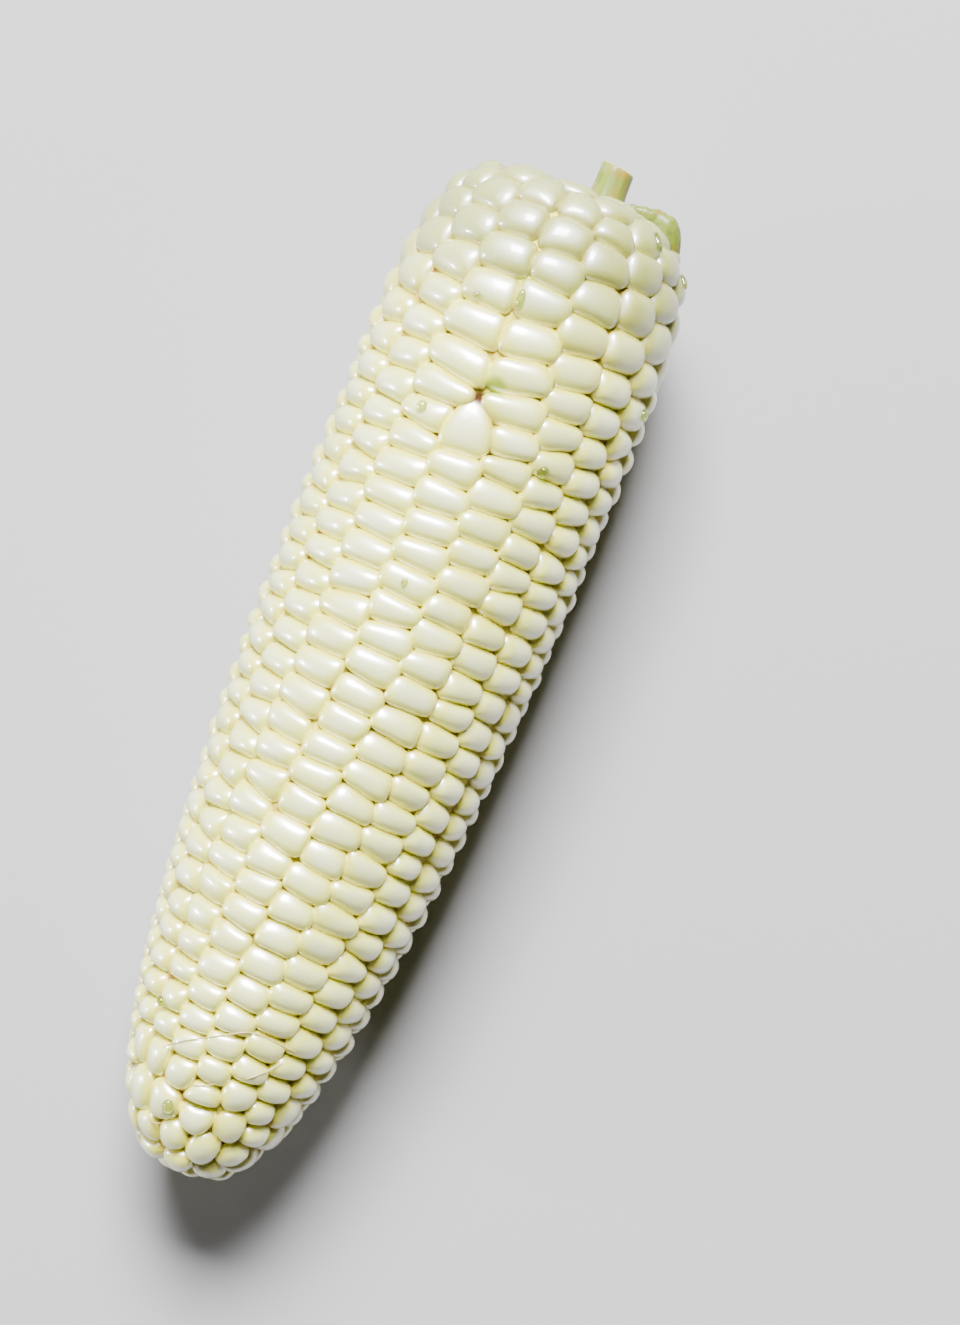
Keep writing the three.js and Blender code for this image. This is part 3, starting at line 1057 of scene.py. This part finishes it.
class CORNEAR_OT_silk(bpy.types.Operator):
    """Lays a few strands of silk over the kernels near the tip."""

    bl_idname = "corn_ear.silk"
    bl_label = "Silk"

    def execute(self, context):
        settings = context.scene.corn_silk
        over = kernel_surface()
        bm = bmesh.new()
        for path in SILK_PATHS:
            points = smooth_path([Vector((x * MM, y * MM, 0)) for x, y in path], SILK_STEP)
            floor = [over(p.x, p.y)[0].z + settings.radius for p in points]
            height = list(floor)
            for _ in range(SILK_PASSES):
                middles = [(a + b) / 2 - SILK_SAG for a, b in zip(height, height[2:])]
                height[1:-1] = [max(low, mid) for low, mid in zip(floor[1:-1], middles)]
            for point, z in zip(points, height):
                point.z = z
            grow_tube(bm, [strand_ring(points, i, settings.radius) for i in range(len(points))])
        finish_piece(bm, "silk", [silk_material(settings)])
        return {"FINISHED"}


def smooth_path(stations, step):
    """Evenly spaced points on a curve through the stations."""
    ends = [stations[0] * 2 - stations[1], *stations, stations[-1] * 2 - stations[-2]]
    points = []
    for a, b, c, d in zip(ends, ends[1:], ends[2:], ends[3:]):
        count = max(2, round((c - b).length / step))
        for i in range(count):
            t = i / count
            points.append(
                ((b * 2) + (c - a) * t + (a * 2 - b * 5 + c * 4 - d) * t**2
                 + (b * 3 - a - c * 3 + d) * t**3) / 2
            )
    return [*points, stations[-1].copy()]


def strand_ring(points, number, radius):
    """A ring round a strand, thinner at its two ends."""
    before = points[max(0, number - 1)]
    after = points[min(len(points) - 1, number + 1)]
    along = (after - before).normalized()
    aside = along.cross(UP).normalized()
    top = aside.cross(along)
    taper = min(1.0, STRAND_END + STRAND_TAPER * min(number, len(points) - 1 - number))
    turns = [2 * math.pi * i / STRAND_SIDES for i in range(STRAND_SIDES)]
    return [
        points[number] + (aside * math.cos(t) + top * math.sin(t)) * radius * taper for t in turns
    ]


DROP_HEIGHT = 0.8  # of its radius
DROP_RISE = 0.2  # of its radius, from the kernel's skin to the drop's middle
TOWARDS_CROWN = 0.35  # share of the way that a drop moves to the nearest kernel's crown
DROP_RIM_SHADE = (0.3, 0.75)  # of its radius above the skin: full painted rim shade up to here, none from here on
# Each drop: place seen from above in millimetres, size, and how much longer than wide it is.
DROPS = [
    (-9.3, 61.4, 0.65, 1.0),
    (-3.8, 64.1, 0.8, 2.1),
    (-10.3, 42.3, 0.95, 1.1),
    (11.1, 38.7, 1.0, 1.15),
    (16.0, 82.3, 0.75, 2.5),
    (22.8, 78.7, 0.7, 2.0),
    (24.0, 55.9, 0.9, 1.3),
    (-13.2, -67.5, 1.0, 1.1),
    (-4.5, -82.9, 1.1, 1.2),
    (-2.2, 13.8, 0.6, 1.3),
]


def water_material(settings):
    """Clear water, tinted green as a painted reflection of leaves, with painted shade along its rim.
    """
    material, tree, shader = new_material("dew_water")
    # The rim attribute mixes in the edge colour as painted shade along the drop's outline.
    rim = add_node(tree, "Attribute", attribute_name="rim").outputs["Fac"]
    colour = add_node(
        tree, "Mix", {0: rim, 6: settings.colour, 7: settings.edge}, data_type="RGBA"
    ).outputs[2]
    for key, value in {
        "Base Color": colour,
        "Roughness": 0.02,
        "IOR": 1.333,
        "Transmission Weight": 1.0,
        "Alpha": 0.8,
        "Coat Weight": 1.0,
        "Coat Roughness": 0.04,
        "Coat IOR": 1.7,
    }.items():
        set_input(tree, shader.inputs[key], value)
    return material


class CORNEAR_OT_dew(bpy.types.Operator):
    """Sets drops of water on the kernels."""

    bl_idname = "corn_ear.dew"
    bl_label = "Dew"

    def execute(self, context):
        settings = context.scene.corn_dew
        over = kernel_surface()
        bm = bmesh.new()
        rim_shade_layer = bm.verts.layers.float.new("rim")
        crowns = [seat.crown.xy for seat in SEATS if seat.up.z > 0.1]
        for x, y, size, length in DROPS:
            spot = Vector((x, y)) * MM
            nearest = min(crowns, key=lambda crown: (crown - spot).length)
            place, normal = over(*spot.lerp(nearest, TOWARDS_CROWN))
            radius = settings.radius * size
            aside = BUTTWARDS.cross(normal).normalized()
            turn = Matrix((aside, normal.cross(aside), normal)).transposed().to_4x4()
            stretch = Matrix.Diagonal((radius, radius * length, radius * DROP_HEIGHT, 1))
            where = Matrix.Translation(place + normal * radius * DROP_RISE)
            drop = bmesh.ops.create_icosphere(
                bm, subdivisions=4, radius=1, matrix=where @ turn @ stretch
            )
            # Painted shade: darker towards the drop's edge on the kernel.
            for vert in drop["verts"]:
                rise = (vert.co - place).dot(normal) / radius
                vert[rim_shade_layer] = 1 - ease(rise, *DROP_RIM_SHADE)
        finish_piece(bm, "dew", [water_material(settings)])
        return {"FINISHED"}


# ---- Stage ----


# Name, direction towards it, distance, width and height in metres, and radiance.
SOFTBOXES = [
    ("broad", (-0.25, 0.62, 0.745), 2.4, 1.12, 0.98, 134),
    ("side", (-0.8, 0.42, 0.45), 2.4, 0.55, 0.45, 2),
    ("window", (-0.93, -0.33, 0.2), 2.0, 0.31, 0.18, 240),
]
COOL_LIGHT = (0.95, 0.965, 1.12)
SKY_STRENGTH = 0.06
FLOOR_HALF_WIDTH = 2.0
SENSOR_WIDTH = 36  # millimetres
CAMERA_ASIDE = (17.2 * MM, 3.5 * MM, 0)  # right and up in the camera's view
CAMERA_BACK = -3.4 * MM  # along the ear


def add_softbox(name, toward, distance, width, height, radiance, target):
    """A rectangular light that lies level across the ear and faces it."""
    data = bpy.data.lights.new(name, "AREA")
    data.shape = "RECTANGLE"
    data.size = width
    data.size_y = height
    data.energy = radiance * math.pi * width * height
    data.color = COOL_LIGHT
    light = bpy.data.objects.new(name, data)
    bpy.context.collection.objects.link(light)
    back = Vector(toward).normalized()
    level = (Vector((1, 0, 0)) - back * back.x).normalized()
    turn = Matrix((level, back.cross(level), back)).transposed().to_4x4()
    light.matrix_world = Matrix.Translation(target + back * distance) @ turn


class CORNEAR_OT_stage(bpy.types.Operator):
    """Sets the pale floor, the soft studio light and the camera that looks down on the ear."""

    bl_idname = "corn_ear.stage"
    bl_label = "Stage"

    def execute(self, context):
        settings = context.scene.corn_stage
        bm = bmesh.new()
        bmesh.ops.create_grid(bm, x_segments=1, y_segments=1, size=FLOOR_HALF_WIDTH)
        mesh = bpy.data.meshes.new("floor")
        bm.to_mesh(mesh)
        bm.free()
        floor = bpy.data.objects.new("floor", mesh)
        context.collection.objects.link(floor)
        material, tree, shader = new_material("matt_studio_floor")
        set_input(tree, shader.inputs["Base Color"], settings.floor)
        set_input(tree, shader.inputs["Roughness"], 0.9)
        mesh.materials.append(material)

        world = bpy.data.worlds.new("studio")
        context.scene.world = world
        world.use_nodes = True
        background = world.node_tree.nodes["Background"]
        background.inputs["Color"].default_value = (*srgb("#f2f4f6"), 1)
        background.inputs["Strength"].default_value = SKY_STRENGTH

        ear = Vector((0, 0, CAD_HIGH.z / 2))
        for softbox in SOFTBOXES:
            add_softbox(*softbox, ear)

        camera_data = bpy.data.cameras.new("camera")
        camera_data.lens = settings.lens
        camera_data.sensor_width = SENSOR_WIDTH
        camera = bpy.data.objects.new("camera", camera_data)
        context.collection.objects.link(camera)
        turn = Matrix.Rotation(settings.lean, 3, "Z")
        aside = turn @ Vector(CAMERA_ASIDE)
        camera.location = Vector((0, CAMERA_BACK, ear.z + settings.distance)) + aside
        camera.rotation_euler = (0, 0, settings.lean)
        context.scene.camera = camera
        return {"FINISHED"}


class CORNEAR_PT_panel(bpy.types.Panel):
    """Lists the ear's pieces in the sidebar, with the sizes and colours of each."""

    bl_idname = "CORNEAR_PT_panel"
    bl_label = "Corn Ear"
    bl_space_type = "VIEW_3D"
    bl_region_type = "UI"
    bl_category = "Corn Ear"

    def draw(self, context):
        for operator in OPERATORS:
            self.layout.operator(operator.bl_idname)
        for key, group in SETTINGS.items():
            box = self.layout.box()
            box.label(text=group.__doc__)
            for name in group.__annotations__:
                box.prop(getattr(context.scene, key), name)


OPERATORS = [
    CORNEAR_OT_kernels,
    CORNEAR_OT_cob,
    CORNEAR_OT_shank,
    CORNEAR_OT_husk,
    CORNEAR_OT_silk,
    CORNEAR_OT_dew,
    CORNEAR_OT_stage,
]


def register():
    for group in SETTINGS.values():
        bpy.utils.register_class(group)
    for key, group in SETTINGS.items():
        setattr(bpy.types.Scene, key, PointerProperty(type=group))
    for operator in OPERATORS:
        bpy.utils.register_class(operator)
    bpy.utils.register_class(CORNEAR_PT_panel)


def unregister():
    bpy.utils.unregister_class(CORNEAR_PT_panel)
    for operator in reversed(OPERATORS):
        bpy.utils.unregister_class(operator)
    for key in SETTINGS:
        delattr(bpy.types.Scene, key)
    for group in SETTINGS.values():
        bpy.utils.unregister_class(group)


def write_sizes():
    """Brings the scene's placements up to date."""
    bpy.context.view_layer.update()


def main():
    register()
    for name in ("kernels", "cob", "shank", "husk", "silk", "dew", "stage"):
        getattr(bpy.ops.corn_ear, name)()
    write_sizes()


if __name__ == "__main__":
    main()
